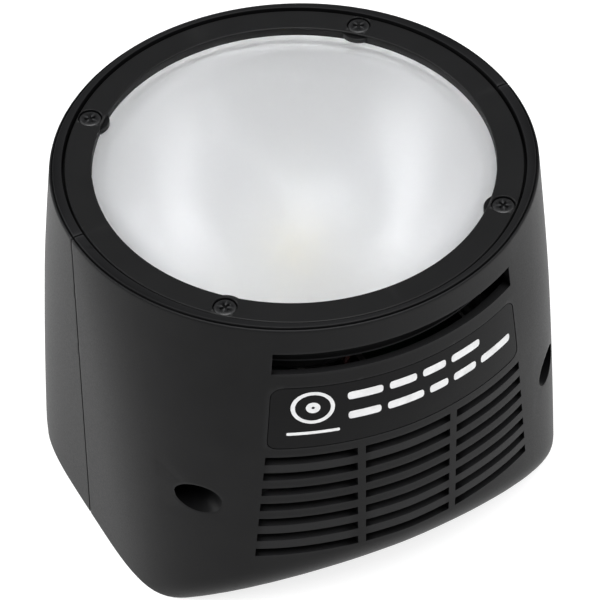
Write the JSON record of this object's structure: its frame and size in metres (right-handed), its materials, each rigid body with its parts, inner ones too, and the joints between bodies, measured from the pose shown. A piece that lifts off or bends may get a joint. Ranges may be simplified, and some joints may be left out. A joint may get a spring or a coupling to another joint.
{
  "type": "studio flash head",
  "caption": "Detachable round studio flash head: vented black two-shell housing, flat frosted glass in a screwed ring, contact pocket at the rear.",
  "frame": {"origin": "centre of the rear face, on the plane that the head stands on", "axes": "+Z along the light, out of the glass; -Y out of the grille side; X along the seam plane"},
  "size_m": [0.0768, 0.0774, 0.062],
  "materials": {
    "housing_plastic": "fine matt texture",
    "label_film": "satin film",
    "ring_steel": "satin black paint on steel",
    "screw_steel": "black oxide",
    "front_glass": "frosted",
    "silicone": "translucent silicone",
    "inner_plastic": "moulded",
    "reflector_metal": "anodised aluminium bowl",
    "tube_glass": "clear quartz",
    "ceramic": "unglazed",
    "bright_steel": "plated",
    "heatsink_aluminium": "turned",
    "led_resin": "phosphor resin",
    "board_laminate": "solder mask",
    "coil_tape": "polyester tape",
    "capacitor_resin": "dipped film capacitor",
    "lead_red": "silicone insulation",
    "lead_white": "nylon and silicone",
    "lead_black": "silicone insulation",
    "contact_brass": "gold plated"
  },
  "bodies": {
    "head": {"near_shell": "housing_plastic", "far_shell": "housing_plastic", "near_label": "label_film", "far_label": "label_film", "front_ring": "ring_steel", "ring_screw_1": "screw_steel", "ring_screw_2": "screw_steel", "ring_screw_3": "screw_steel", "ring_screw_4": "screw_steel", "front_glass": "front_glass", "glass_gasket": "silicone", "lamp_frame": "inner_plastic", "reflector": "reflector_metal", "flash_tube": "tube_glass", "lamp_base": "ceramic", "trigger_band": "bright_steel", "led_post": "heatsink_aluminium", "modelling_led": "led_resin", "heat_sensor": "inner_plastic", "driver_board": "board_laminate", "trigger_coil": "coil_tape", "trigger_capacitor": "capacitor_resin", "lead_socket": "lead_white", "anode_lead": "lead_red", "cathode_lead": "lead_white", "trigger_lead": "lead_black", "board_screw_1": "bright_steel", "board_screw_2": "bright_steel", "housing_screw_1": "screw_steel", "housing_screw_2": "screw_steel", "base_plate": "housing_plastic", "base_screw_1": "screw_steel", "base_screw_2": "screw_steel", "base_screw_3": "screw_steel", "base_screw_4": "screw_steel", "contact_block": "inner_plastic", "power_pin_1": "contact_brass", "power_pin_2": "contact_brass", "pin_spring_1": "bright_steel", "pin_spring_2": "bright_steel", "pin_spring_3": "bright_steel", "pin_spring_4": "bright_steel"},
    "pin_1": {"signal_pin_1": "contact_brass"},
    "pin_2": {"signal_pin_2": "contact_brass"},
    "pin_3": {"signal_pin_3": "contact_brass"},
    "pin_4": {"signal_pin_4": "contact_brass"}
  },
  "joints": [
    {"name": "pin_1_press", "type": "slide", "parent": "head", "child": "pin_1", "axis": [0, 0, 1], "range_m": [0, 0.0012], "stiffness_N_per_m": 250, "springref_m": -0.001, "deforming": ["pin_spring_1"]},
    {"name": "pin_2_press", "type": "slide", "parent": "head", "child": "pin_2", "axis": [0, 0, 1], "range_m": [0, 0.0012], "stiffness_N_per_m": 250, "springref_m": -0.001, "deforming": ["pin_spring_2"]},
    {"name": "pin_3_press", "type": "slide", "parent": "head", "child": "pin_3", "axis": [0, 0, 1], "range_m": [0, 0.0012], "stiffness_N_per_m": 250, "springref_m": -0.001, "deforming": ["pin_spring_3"]},
    {"name": "pin_4_press", "type": "slide", "parent": "head", "child": "pin_4", "axis": [0, 0, 1], "range_m": [0, 0.0012], "stiffness_N_per_m": 250, "springref_m": -0.001, "deforming": ["pin_spring_4"]}
  ]
}
